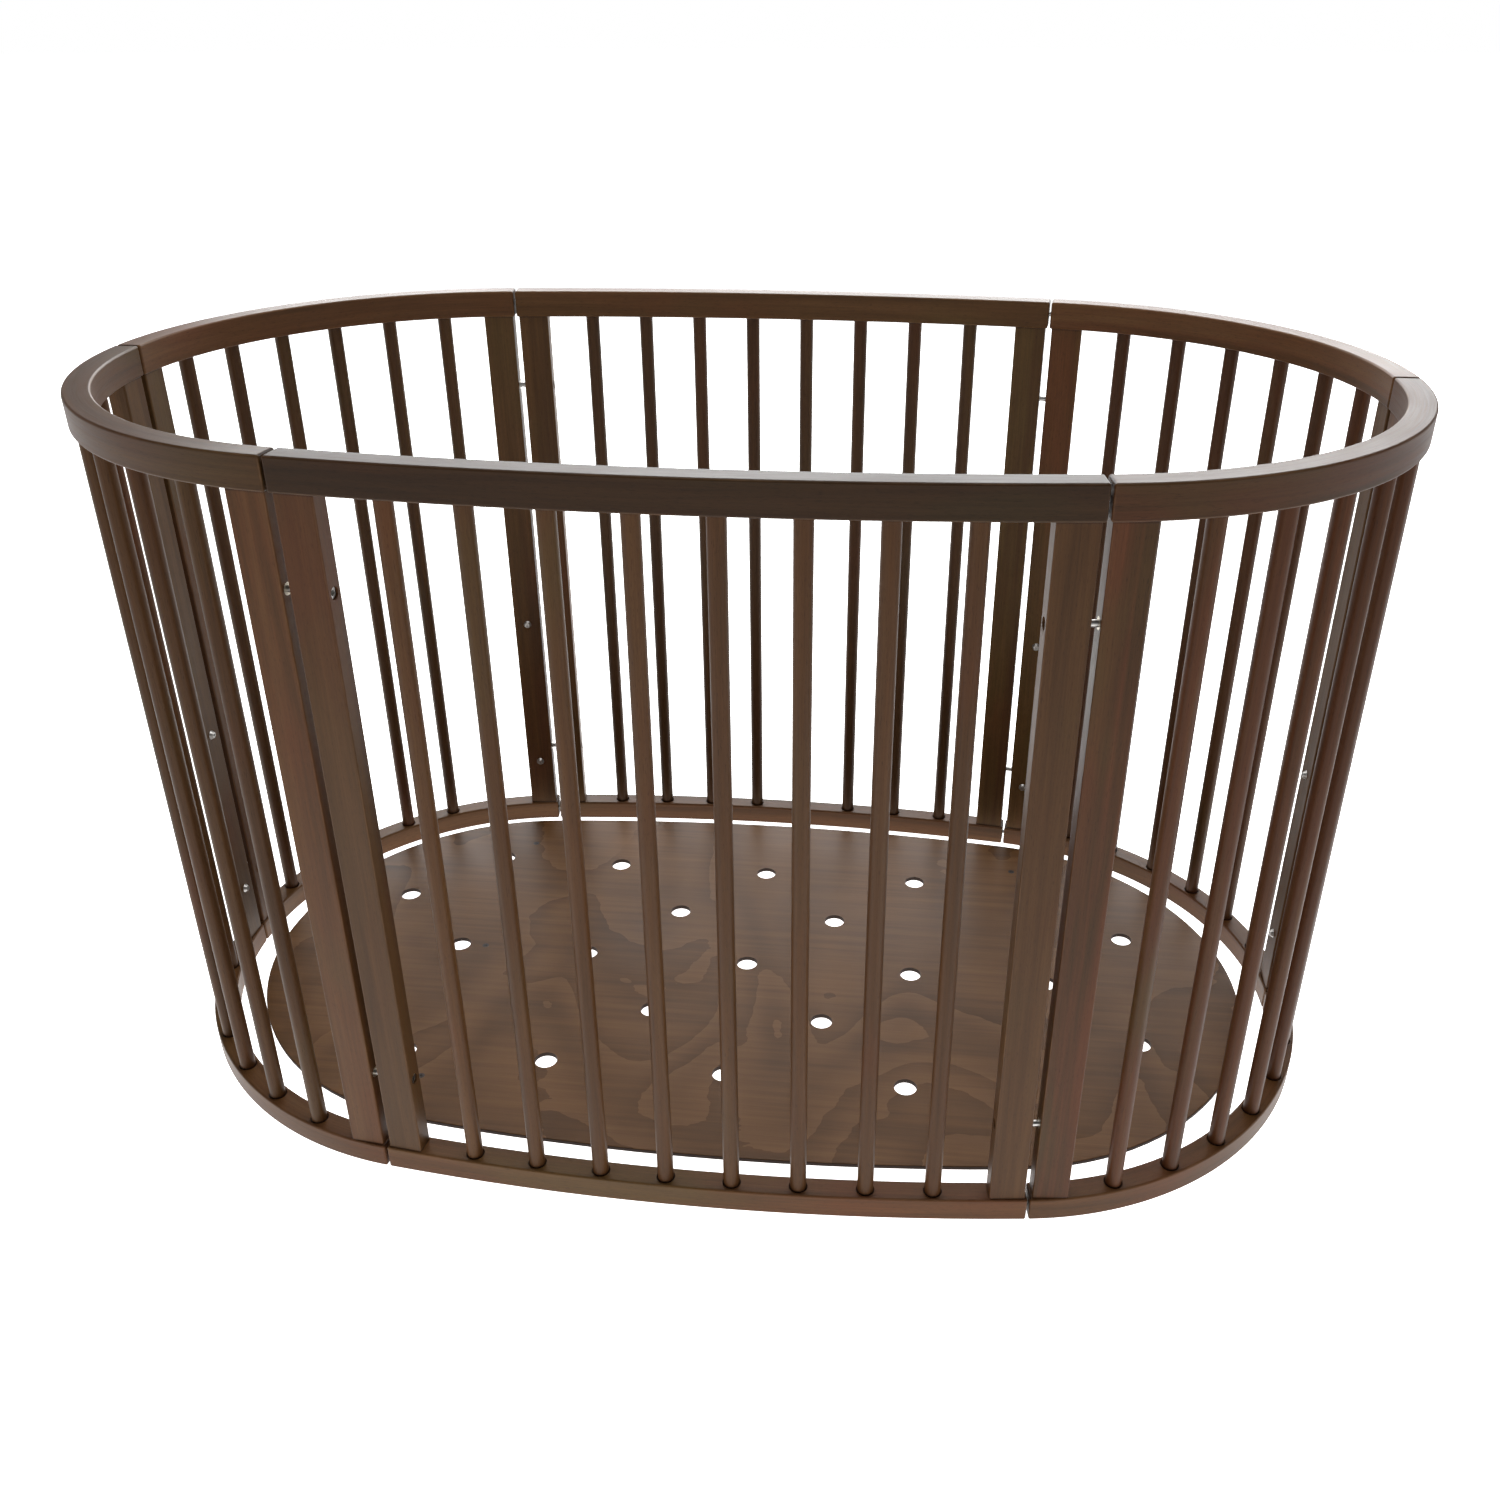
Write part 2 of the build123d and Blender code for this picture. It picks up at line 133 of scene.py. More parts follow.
# Softboxes: name, place, point they look at, width and height, and the setting of their power
PEN_MIDDLE = (0.0, 0.0, 0.4)
SOFTBOXES = (
    ("top_softbox", (0.0, 0.5, 2.8), (0.0, 0.1, 0.0), (3.2, 2.2), "top_power"),
    ("left_softbox", (-3.0, -1.2, 1.0), PEN_MIDDLE, (1.8, 1.6), "side_power"),
    ("right_softbox", (3.0, -1.0, 1.0), PEN_MIDDLE, (1.8, 1.6), "side_power"),
    ("back_softbox", (0.0, 3.6, 1.8), PEN_MIDDLE, (5.0, 1.5), "back_power"),
)
FLOOR_CORNERS = 96
VIEW_REACH = 200.0
SENSOR_WIDTH = 36.0

# Base board
BOARD_LOW, BOARD_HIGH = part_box("base_board")
PLY_COUNT = 5


def panel_arc(panel):
    """Centre in plan and radius of the middle line of a panel's rails."""
    low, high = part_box(f"{panel}_top_rail")
    if panel in SIDE_PANELS:
        reach = SIDE_RADIUS + RAIL_DEPTH / 2
        centre_y = low.y + reach if panel == "front_panel" else high.y - reach
        return Vector((0, centre_y, 0)), SIDE_RADIUS
    reach = QUARTER_RADIUS + RAIL_DEPTH / 2
    centre_x = high.x - reach if "right" in panel else low.x + reach
    return Vector((centre_x, 0, 0)), QUARTER_RADIUS


def stile_names(panel):
    """Names of the two stiles of a panel."""
    ends = ("left", "right") if panel in SIDE_PANELS else ("side", "end")
    return [f"{panel}_{end}_stile" for end in ends]


def dress(node_name, material):
    """Give one CAD piece its finish."""
    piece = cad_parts[node_name]
    if not piece.material_slots:
        raise RuntimeError(f"{node_name} has no material slot")
    for slot in piece.material_slots:
        slot.material = material


class Finish:
    """One material under construction, with short ways to add and join its nodes."""

    def __init__(self, name):
        self.material = bpy.data.materials.new(name)
        self.material.use_nodes = True
        self.nodes = self.material.node_tree.nodes
        self.links = self.material.node_tree.links
        self.nodes.clear()
        output = self.add("ShaderNodeOutputMaterial")
        self.shader = self.add("ShaderNodeBsdfPrincipled")
        self.links.new(self.shader.outputs["BSDF"], output.inputs["Surface"])

    def add(self, kind, **settings):
        """New node with its settings."""
        node = self.nodes.new(kind)
        for key, value in settings.items():
            setattr(node, key, value)
        return node

    def feed(self, socket, value):
        """Join a socket to another node's output, or set its value."""
        if isinstance(value, bpy.types.NodeSocket):
            self.links.new(value, socket)
        else:
            socket.default_value = value

    def math(self, operation, *values):
        """Result of one piece of arithmetic."""
        node = self.add("ShaderNodeMath", operation=operation)
        for socket, value in zip(node.inputs, values):
            self.feed(socket, value)
        return node.outputs[0]

    def times(self, first, second):
        """Product of two numbers."""
        return self.math("MULTIPLY", first, second)

    def plus(self, first, second):
        """Sum of two numbers."""
        return self.math("ADD", first, second)

    def greater(self, first, second):
        """The greater of two numbers."""
        return self.math("MAXIMUM", first, second)

    def size_of(self, value):
        """Number without its sign."""
        return self.math("ABSOLUTE", value)

    def combine(self, x, y, z):
        """Vector from three numbers."""
        node = self.add("ShaderNodeCombineXYZ")
        for socket, value in zip(node.inputs, (x, y, z)):
            self.feed(socket, value)
        return node.outputs[0]

    def split(self, vector):
        """Three numbers of a vector."""
        node = self.add("ShaderNodeSeparateXYZ")
        self.feed(node.inputs[0], vector)
        return node.outputs[0], node.outputs[1], node.outputs[2]

    def stretch(self, point, lengthwise, across):
        """Point with its first axis, along the grain, scaled apart from the other two."""
        along, side, deep = point
        return self.combine(
            self.times(along, lengthwise),
            self.times(side, across),
            self.times(deep, across),
        )

    def noise(self, vector, scale=1.0, detail=2.0, roughness=0.5, distortion=0.0):
        """Soft random pattern from 0 to 1."""
        node = self.add("ShaderNodeTexNoise")
        self.feed(node.inputs["Vector"], vector)
        self.feed(node.inputs["Scale"], scale)
        self.feed(node.inputs["Detail"], detail)
        self.feed(node.inputs["Roughness"], roughness)
        self.feed(node.inputs["Distortion"], distortion)
        return node.outputs["Fac"]

    def remap(self, value, low, high, to_low=0.0, to_high=1.0, soft=False):
        """Value moved from one range to another and held inside it."""
        node = self.add("ShaderNodeMapRange", clamp=True)
        if soft:
            node.interpolation_type = "SMOOTHSTEP"
        for socket, number in zip(node.inputs, (value, low, high, to_low, to_high)):
            self.feed(socket, number)
        return node.outputs[0]

    def ramp(self, value, *stops):
        """Colour read from a row of (place, colour) stops."""
        node = self.add("ShaderNodeValToRGB")
        self.feed(node.inputs[0], value)
        band = node.color_ramp
        while len(band.elements) < len(stops):
            band.elements.new(1.0)
        for element, (place, colour) in zip(band.elements, stops):
            element.position = place
            element.color = (*colour, 1.0)
        return node.outputs["Color"]

    def mix(self, factor, first, second, blend="MIX"):
        """Two colours mixed by a factor."""
        node = self.add("ShaderNodeMix", data_type="RGBA", blend_type=blend)
        self.feed(node.inputs[0], factor)
        self.feed(node.inputs[6], first)
        self.feed(node.inputs[7], second)
        return node.outputs[2]

    def bump(self, height, distance, strength, below=None):
        """Surface relief, on top of other relief if there is any."""
        node = self.add("ShaderNodeBump")
        node.inputs["Distance"].default_value = distance
        node.inputs["Strength"].default_value = strength
        self.feed(node.inputs["Height"], height)
        if below is not None:
            self.feed(node.inputs["Normal"], below)
        return node.outputs["Normal"]

    def place(self):
        """Point on the piece in the frame's own metres, and the facing of its surface."""
        node = self.add("ShaderNodeTexCoord")
        return node.outputs["Object"], node.outputs["Normal"]


def opaque(colour):
    """Colour with full alpha, as a socket takes it."""
    return (*colour, 1.0)


def shade(colour, factor):
    """Colour made darker or lighter."""
    return tuple(channel * factor for channel in colour)


def blend_of(first, second, amount):
    """Colour between two others."""
    return tuple(a + (b - a) * amount for a, b in zip(first, second))


def darken(finish, colour, factor):
    """Colour multiplied by a factor that varies over the surface."""
    return finish.mix(1.0, colour, finish.combine(factor, factor, factor), "MULTIPLY")


def bent_grid(finish, centre, radius):
    """Run along a curved rail, distance out from its middle line, height, and a mask of its edges."""
    point, normal = finish.place()
    offset = finish.add("ShaderNodeVectorMath", operation="SUBTRACT")
    finish.feed(offset.inputs[0], point)
    offset.inputs[1].default_value = centre
    x, y, z = finish.split(offset.outputs[0])
    reach = finish.math("SQRT", finish.plus(finish.times(x, x), finish.times(y, y)))
    along = finish.times(finish.math("ARCTAN2", y, x), radius)
    out = finish.math("SUBTRACT", reach, radius)

    facing_x, facing_y, facing_z = finish.split(normal)
    outward = finish.plus(finish.times(facing_x, x), finish.times(facing_y, y))
    onward = finish.math("SUBTRACT", finish.times(facing_y, x), finish.times(facing_x, y))
    outward = finish.size_of(finish.math("DIVIDE", outward, reach))
    onward = finish.size_of(finish.math("DIVIDE", onward, reach))
    squarest = finish.greater(finish.greater(outward, onward), finish.size_of(facing_z))
    edge = finish.remap(finish.math("SUBTRACT", 1.0, squarest), *EDGE_TURN, soft=True)
    return along, out, z, edge


def piece_tone_and_shade(name, seed):
    """Brightness and hue of the stain on one piece, the brightness of some listed pieces partly painted
    shade.
    """
    draw = random.Random(seed + TONE_SEED)
    drawn = (draw.uniform(0.9, 1.08), draw.uniform(-0.5, 0.8))
    return TONES_AND_SHADE.get(name, drawn)


def stain_wood(finish, grain, stain, seed, tone, wear_and_highlight=None, joint_shade=None, island=None):
    """Semi-gloss walnut stain over beech, with its grain along the first axis of the grain point."""
    draw = random.Random(seed)
    along, side, deep = grain
    along = finish.plus(along, draw.uniform(-GRAIN_SHIFT, GRAIN_SHIFT))
    if island is not None:
        along = finish.plus(along, finish.times(island, BAR_SHIFT))
    point = (along, side, deep)
    streaks = finish.noise(finish.stretch(point, *STREAKS), detail=3.0, roughness=0.55, distortion=0.6)
    fibres = finish.noise(finish.stretch(point, *FIBRES), detail=3.0, roughness=0.6)
    flecks = finish.noise(finish.stretch(point, *FLECKS), detail=1.0)
    clouds = finish.noise(finish.stretch(point, *CLOUDS), detail=2.5, roughness=0.6)

    # Colour: streaks, then hue that drifts in clouds, then fibres and the dark flecks of beech
    brightness, tint = tone
    body = blend_of(stain.body_colour, stain.red_colour if tint > 0 else stain.olive_colour, abs(tint))
    body = shade(body, brightness)
    colour = finish.ramp(
        streaks,
        (0.30, shade(stain.dark_colour, brightness)),
        (0.50, body),
        (0.72, shade(stain.light_colour, brightness)),
    )
    reddish = finish.remap(clouds, 0.52, 0.74, 0.0, stain.cloudiness, soft=True)
    colour = finish.mix(reddish, colour, opaque(shade(stain.red_colour, brightness)))
    greenish = finish.remap(clouds, 0.46, 0.28, 0.0, stain.cloudiness, soft=True)
    colour = finish.mix(greenish, colour, opaque(shade(stain.olive_colour, brightness)))
    if island is not None:
        darker = finish.remap(island, 0.0, 1.0, 0.0, stain.bar_variation)
        colour = finish.mix(darker, colour, opaque(shade(body, 0.62)))
    fine = finish.remap(fibres, *NOISE_SPAN, 0.86, 1.10)
    fleck_mask = finish.remap(flecks, 0.60, 0.72, 1.0, 0.72)
    darkening = finish.times(fine, fleck_mask)
    colour = darken(finish, colour, darkening)

    # Gloss, the edges lightened as worn stain and painted highlight, and the corners darkened with painted
    # shade
    gloss = finish.remap(clouds, *NOISE_SPAN, stain.roughness - 0.05, stain.roughness + 0.06)
    gloss = finish.plus(gloss, finish.remap(fibres, *NOISE_SPAN, -0.03, 0.04))
    # Wear and painted highlight: the edges are lightened towards a pale brown
    if wear_and_highlight is not None:
        rubbed_and_highlight = finish.noise(finish.stretch(point, *RUBBING_AND_HIGHLIGHT), detail=4.0, roughness=0.7)
        rubbed_and_highlight = finish.remap(rubbed_and_highlight, 0.42, 0.68, 0.05, stain.edge_wear_and_highlight, soft=True)
        rubbed_and_highlight = finish.times(wear_and_highlight, rubbed_and_highlight)
        colour = finish.mix(rubbed_and_highlight, colour, opaque(stain.rubbed_and_highlight_colour))
        gloss = finish.plus(gloss, finish.times(rubbed_and_highlight, 0.12))
    # Painted shade: the joints between pieces are darkened towards a near-black brown
    if joint_shade is not None:
        colour = finish.mix(joint_shade, colour, opaque(stain.joint_shade_colour))
    finish.feed(finish.shader.inputs["Base Color"], colour)
    finish.feed(finish.shader.inputs["Roughness"], gloss)
    finish.shader.inputs["Specular IOR Level"].default_value = stain.gloss
    finish.shader.inputs["Coat Weight"].default_value = stain.lacquer
    finish.shader.inputs["Coat Roughness"].default_value = stain.lacquer_roughness

    # Relief: slow ripples of the planed surface under its fibres and flecks
    ripple = finish.noise(finish.stretch(point, *RIPPLES), detail=1.0)
    relief = finish.bump(ripple, RIPPLE_RELIEF, 0.18)
    pores = finish.plus(fibres, finish.times(flecks, 0.4))
    relief = finish.bump(pores, FIBRE_RELIEF, 0.35, relief)
    finish.feed(finish.shader.inputs["Normal"], relief)
    return finish.material


def rail_finish(panel, level, stain, seed):
    """Stained rail whose grain follows its bend, its outer edges lightened as wear and painted highlight,
    and painted shade darkening the bar bores' mouths.
    """
    centre, radius = panel_arc(panel)
    finish = Finish(f"walnut_{panel}_{level}")
    along, out, height, edge = bent_grid(finish, centre, radius)
    inner_part = RAIL_DEPTH / 2 - 1.25 * RAIL_EDGE
    outer_edge = finish.math("GREATER_THAN", finish.size_of(out), inner_part)
    # Wear and painted highlight on the outer edges
    wear_and_highlight = finish.times(edge, outer_edge)
    # Painted shade in the bar bores' mouths: edges away from the outer faces are darkened
    joint_shade = finish.times(edge, finish.math("SUBTRACT", 1.0, outer_edge))
    joint_shade = finish.times(joint_shade, RAIL_JOINT_SHADE)
    tone = piece_tone_and_shade(f"{panel}_{level}", seed)
    return stain_wood(finish, (along, out, height), stain, seed, tone, wear_and_highlight, joint_shade)


def near_rails(finish, height, reach):
    """Mask that is 1 where an upright meets either rail and fades within a short reach."""
    low = finish.remap(height, RAIL_LOW_FACE, RAIL_LOW_FACE + reach, 1.0, 0.0, soft=True)
    high = finish.remap(height, RAIL_HIGH_FACE - reach, RAIL_HIGH_FACE, 0.0, 1.0, soft=True)
    return finish.greater(low, high)


def stile_finish(panel, name, stain, seed):
    """Stained stile with upright grain, its long edges lightened as wear and painted highlight, and painted
    shade where it meets the rails.
    """
    centre, radius = panel_arc(panel)
    finish = Finish(f"walnut_{name}")
    along, out, height, edge = bent_grid(finish, centre, radius)
    # Painted shade where the stile meets the rails
    joint_shade = finish.times(near_rails(finish, height, stain.joint_shade_reach), STILE_JOINT_SHADE)
    tone = piece_tone_and_shade(name, seed)
    return stain_wood(finish, (height, along, out), stain, seed, tone, edge, joint_shade)


def bar_finish(panel, stain, seed):
    """Stained round bars with upright grain, each bar a little lighter or darker than the next."""
    finish = Finish(f"walnut_{panel}_bars")
    point, _ = finish.place()
    x, y, height = finish.split(point)
    island = finish.add("ShaderNodeNewGeometry").outputs["Random Per Island"]
    # Painted shade where the bars meet the rails
    joint_shade = finish.times(near_rails(finish, height, stain.joint_shade_reach), BAR_JOINT_SHADE)
    tone = piece_tone_and_shade(f"{panel}_bars", seed)
    return stain_wood(finish, (height, x, y), stain, seed, tone, None, joint_shade, island)


def veneer_point(finish, x, y, pattern):
    """Point in a veneer pattern, stretched along and across the board."""
    along, across, slice_height = pattern
    return finish.combine(finish.times(x, along), finish.times(y, across), slice_height)


def board_finish(board, stain):
    """Stained rotary-cut veneer with stepped flame figure, over the dark edge of the plies."""
    finish = Finish("walnut_veneer_plywood")
    point, normal = finish.place()
    x, y, z = finish.split(point)
    jitter = finish.noise(veneer_point(finish, x, y, VENEER_JITTER), detail=3.0)
    swell_point = veneer_point(finish, x, y, VENEER_FIGURE)
    swell = finish.noise(swell_point, detail=1.5, roughness=0.45, distortion=0.8)
    level = finish.times(swell, board.figure_count)
    level = finish.plus(level, finish.times(jitter, board.figure_raggedness))
    step = finish.math("FRACT", level)
    clouds = finish.noise(veneer_point(finish, x, y, VENEER_CLOUDS), detail=3.0)
    streaks = finish.noise(veneer_point(finish, x, y, VENEER_STREAKS), detail=3.0, roughness=0.6)
    fibres = finish.noise(veneer_point(finish, x, y, VENEER_FIBRES), detail=2.0)

    # Face: clouds, the paler side of each step of the figure, then streaks and fibres
    colour = finish.ramp(
        clouds,
        (0.30, stain.dark_colour),
        (0.47, board.face_colour),
        (0.62, board.face_colour),
        (0.76, board.pale_colour),
    )
    figure = finish.remap(step, 0.0, 1.0, 0.0, board.figure_strength)
    colour = finish.mix(figure, colour, opaque(board.pale_colour))
    lines = finish.remap(streaks, 0.34, 0.66, 0.84, 1.12)
    lines = finish.times(lines, finish.remap(fibres, *NOISE_SPAN, 0.93, 1.05))
    colour = darken(finish, colour, lines)

    # Rim and hole walls: dark plies, every other one a little paler
    _, _, facing_z = finish.split(normal)
    side = finish.remap(finish.size_of(facing_z), 0.35, 0.8, 1.0, 0.0)
    ply_height = (BOARD_HIGH.z - BOARD_LOW.z) / PLY_COUNT
    depth = finish.math("DIVIDE", finish.math("SUBTRACT", z, BOARD_LOW.z), ply_height)
    ply = finish.math("MODULO", finish.math("FLOOR", depth), 2.0)
    plies = finish.mix(ply, opaque(board.edge_colour), opaque(shade(board.edge_colour, 1.7)))
    colour = finish.mix(side, colour, plies)
    finish.feed(finish.shader.inputs["Base Color"], colour)

    gloss = finish.remap(clouds, *NOISE_SPAN, board.roughness - 0.05, board.roughness + 0.07)
    gloss = finish.plus(gloss, finish.times(side, 0.2))
    finish.feed(finish.shader.inputs["Roughness"], gloss)
    finish.shader.inputs["Specular IOR Level"].default_value = stain.gloss
    finish.shader.inputs["Coat Weight"].default_value = board.lacquer
    finish.shader.inputs["Coat Roughness"].default_value = stain.lacquer_roughness
    relief = finish.bump(swell, VENEER_RELIEF, 0.15)
    relief = finish.bump(finish.plus(fibres, streaks), FIBRE_RELIEF, 0.3, relief)
    finish.feed(finish.shader.inputs["Normal"], relief)
    return finish.material


def batten_finish(name, stain, seed):
    """Stained strip with its grain along its length."""
    finish = Finish(f"walnut_{name}")
    point, _ = finish.place()
    x, y, z = finish.split(point)
    return stain_wood(finish, (y, x, z), stain, seed, piece_tone_and_shade(name, seed))


def beech_finish(hardware):
    """Plain unstained beech of the dowels."""
    finish = Finish("plain_beech_dowels")
    point, _ = finish.place()
    x, y, z = finish.split(point)
    fibres = finish.noise(finish.stretch((z, x, y), *BEECH_FIBRES), detail=3.0)
    flecks = finish.noise(finish.stretch((z, x, y), *BEECH_FLECKS), detail=1.0)
    beech = hardware.beech_colour
    colour = finish.ramp(fibres, (0.3, shade(beech, 0.82)), (0.7, beech))
    specks = finish.remap(flecks, 0.6, 0.7, 0.0, 0.5)
    colour = finish.mix(specks, colour, opaque(shade(beech, 0.55)))
    finish.feed(finish.shader.inputs["Base Color"], colour)
    finish.feed(finish.shader.inputs["Roughness"], finish.remap(fibres, *NOISE_SPAN, 0.55, 0.68))
    finish.feed(finish.shader.inputs["Normal"], finish.bump(fibres, FIBRE_RELIEF, 0.3))
    return finish.material


def metal_finish(name, colour, roughness, metallic):
    """Plated metal with soft mottling and fine tool marks."""
    finish = Finish(name)
    point, _ = finish.place()
    mottle = finish.noise(point, scale=METAL_MOTTLE, detail=3.0)
    marks = finish.noise(point, scale=METAL_MARKS, detail=2.0)
    tone = finish.ramp(mottle, (0.3, shade(colour, 0.82)), (0.7, colour))
    finish.feed(finish.shader.inputs["Base Color"], tone)
    finish.shader.inputs["Metallic"].default_value = metallic
    dulled = finish.remap(mottle, *NOISE_SPAN, roughness, roughness + 0.12)
    finish.feed(finish.shader.inputs["Roughness"], dulled)
    finish.feed(finish.shader.inputs["Normal"], finish.bump(marks, METAL_RELIEF, 0.3))
    return finish.material


def floor_finish(studio):
    """Matt pale studio floor, lit from within like a light table and most of all around the pen."""
    finish = Finish("pale_floor")
    point, _ = finish.place()
    reach = finish.add("ShaderNodeVectorMath", operation="LENGTH")
    finish.feed(reach.inputs[0], point)
    near, far = studio.pool_radius, 2.0 * studio.pool_radius
    glow = finish.remap(reach.outputs["Value"], near, far, studio.pool_glow, studio.floor_glow, soft=True)
    clouds = finish.noise(point, scale=FLOOR_CLOUDS, detail=3.0)
    tone = finish.ramp(clouds, (0.3, shade(studio.floor_colour, 0.985)), (0.7, studio.floor_colour))
    finish.feed(finish.shader.inputs["Base Color"], tone)
    finish.shader.inputs["Emission Color"].default_value = opaque(studio.floor_colour)
    finish.feed(finish.shader.inputs["Emission Strength"], glow)
    finish.feed(finish.shader.inputs["Roughness"], finish.remap(clouds, *NOISE_SPAN, 0.75, 0.85))
    return finish.material


def wood_colour(name, description, default):
    """Colour property of a finish."""
    return bpy.props.FloatVectorProperty(
        name=name, description=description, default=default, subtype="COLOR", size=3, min=0.0, max=1.0
    )


def share(name, description, default, high=1.0):
    """Property that is a share, from 0."""
    return bpy.props.FloatProperty(
        name=name, description=description, default=default, subtype="FACTOR", min=0.0, max=high
    )


class StainSettings(bpy.types.PropertyGroup):
    """Walnut stain and lacquer on the solid wood."""

    body_colour: wood_colour("Body", "Main brown of the stain", (0.080, 0.035, 0.0105))
    dark_colour: wood_colour("Dark streaks", "Brown of the darker streaks", (0.056, 0.024, 0.007))
    light_colour: wood_colour("Light streaks", "Brown of the lighter streaks", (0.102, 0.047, 0.016))
    red_colour: wood_colour("Reddish", "Stain where it turns reddish", (0.096, 0.031, 0.0105))
    olive_colour: wood_colour("Greenish", "Stain where it turns a greenish brown", (0.073, 0.041, 0.011))
    # Wear and painted highlight: pale brown laid along the rounded edges
    rubbed_and_highlight_colour: wood_colour("Rubbed edge", "Wood where the stain is rubbed thin", (0.210, 0.112, 0.056))
    # Painted shade: near-black brown laid into the bore mouths and where the uprights meet the rails
    joint_shade_colour: wood_colour("Pooled stain", "Stain gathered in the corners", (0.018, 0.009, 0.006))
    bar_variation: share("Bar variation", "Most that a bar is mixed towards darker stain", 0.45)
    cloudiness: share("Cloudiness", "How strongly the stain's hue drifts within a piece", 0.70)
    # Edge wear and painted highlight along the edges
    edge_wear_and_highlight: share("Edge wear", "How far the stain is rubbed off the edges", 0.30)
    roughness: share("Roughness", "Roughness of the stained surface", 0.46)
    gloss: share("Gloss", "Strength of the surface's own reflection", 0.12)
    lacquer: share("Lacquer", "Weight of the clear lacquer", 0.05)
    lacquer_roughness: share("Lacquer roughness", "Roughness of the clear lacquer", 0.27)
    # Reach of the painted shade up from a joint
    joint_shade_reach: bpy.props.FloatProperty(
        name="Pool reach",
        description="How far pooled stain runs up from a joint",
        default=0.0022,
        min=0.0,
        unit="LENGTH",
    )


class BoardSettings(bpy.types.PropertyGroup):
    """Veneer figure and edge of the base board."""

    face_colour: wood_colour("Face", "Main brown of the veneer", (0.080, 0.035, 0.010))
    pale_colour: wood_colour("Pale figure", "Paler brown of the veneer's figure", (0.165, 0.080, 0.032))
    edge_colour: wood_colour("Edge", "Dark brown of the cut edges", (0.022, 0.013, 0.009))
    figure_count: bpy.props.FloatProperty(
        name="Figure steps", description="Number of steps in the veneer's figure", default=7.0, min=1.0
    )
    figure_raggedness: share("Figure raggedness", "How ragged the edges of the steps are", 0.42)
    figure_strength: share("Figure strength", "Contrast of the veneer's figure", 0.55)
    roughness: share("Roughness", "Roughness of the stained veneer", 0.46)
    lacquer: share("Lacquer", "Weight of the clear lacquer", 0.04)


class HardwareSettings(bpy.types.PropertyGroup):
    """Finishes of the dowels, bolts, inserts, pins and screws."""

    beech_colour: wood_colour("Beech", "Colour of the plain dowels", (0.52, 0.33, 0.19))
    zinc_colour: wood_colour("Zinc plating", "Colour of the zinc-plated steel", (0.46, 0.45, 0.43))
    insert_colour: wood_colour("Inserts", "Colour of the threaded inserts", (0.55, 0.50, 0.40))
    # Painted shade: the screws are near black so that they read as the shadow in their holes
    screw_shade_colour: wood_colour("Screws", "Colour of the browned screws", (0.030, 0.022, 0.018))


class StudioSettings(bpy.types.PropertyGroup):
    """Camera, floor and lights."""

    camera_place: bpy.props.FloatVectorProperty(
        name="Camera place",
        description="Where the camera stands",
        default=(0.190, -1.352, 1.051),
        subtype="TRANSLATION",
        unit="LENGTH",
        size=3,
    )
    camera_turn: bpy.props.FloatProperty(
        name="Turn", description="Turn of the camera about the vertical", default=0.11, subtype="ANGLE"
    )
    camera_dip: bpy.props.FloatProperty(
        name="Dip", description="How far the camera looks down", default=0.496, subtype="ANGLE"
    )
    camera_roll: bpy.props.FloatProperty(
        name="Roll", description="Roll of the camera about its own view", default=0.0, subtype="ANGLE"
    )
    lens: bpy.props.FloatProperty(
        name="Lens",
        description="Focal length in millimetres",
        default=33.07,
        min=1.0,
        subtype="DISTANCE_CAMERA",
    )
    shift: bpy.props.FloatVectorProperty(
        name="Shift", description="Shift of the lens, as shares of the frame", default=(-0.02, 0.0), size=2
    )
    floor_colour: wood_colour("Floor", "Colour of the floor", (0.90, 0.90, 0.90))
    floor_radius: bpy.props.FloatProperty(
        name="Floor radius", description="Radius of the floor", default=40.0, min=1.0, unit="LENGTH"
    )
    floor_glow: share("Floor glow", "Brightness of the floor's own light far from the pen", 1.0, 4.0)
    pool_glow: share("Pool glow", "Brightness of the floor's own light around the pen", 2.0, 4.0)
    pool_radius: bpy.props.FloatProperty(
        name="Pool radius",
        description="Radius of the brighter pool of light",
        default=0.9,
        min=0.1,
        unit="LENGTH",
    )
    horizon_height: bpy.props.FloatProperty(
        name="Horizon height",
        description="Where the pale horizon starts to fade",
        default=0.02,
        subtype="ANGLE",
    )
    ceiling_height: bpy.props.FloatProperty(
        name="Ceiling height",
        description="Where the surround has faded to its ceiling",
        default=0.26,
        subtype="ANGLE",
    )
    horizon_colour: wood_colour("Horizon", "Colour of the surround at the horizon", (1.0, 1.0, 1.0))
    ceiling_colour: wood_colour("Ceiling", "Colour of the surround overhead", (0.16, 0.16, 0.165))
    top_power: bpy.props.FloatProperty(
        name="Top light", description="Power of the softbox overhead", default=60.0, min=0.0, unit="POWER"
    )
    side_power: bpy.props.FloatProperty(
        name="Side lights", description="Power of each side softbox", default=3.0, min=0.0, unit="POWER"
    )
    back_power: bpy.props.FloatProperty(
        name="Back light",
        description="Power of the softbox behind the pen",
        default=185.0,
        min=0.0,
        unit="POWER",
    )


class PLAYPEN_OT_finish_rails(bpy.types.Operator):
    """Stain the curved top and bottom rails of every panel"""

    bl_idname = "playpen.finish_rails"
    bl_label = "Rails"

    def execute(self, context):
        stain = context.scene.playpen_stain
        for index, panel in enumerate(SIDE_PANELS + QUARTER_PANELS):
            for level, first_seed in RAIL_SEEDS.items():
                dress(f"{panel}_{level}", rail_finish(panel, level, stain, first_seed + index))
        return {"FINISHED"}


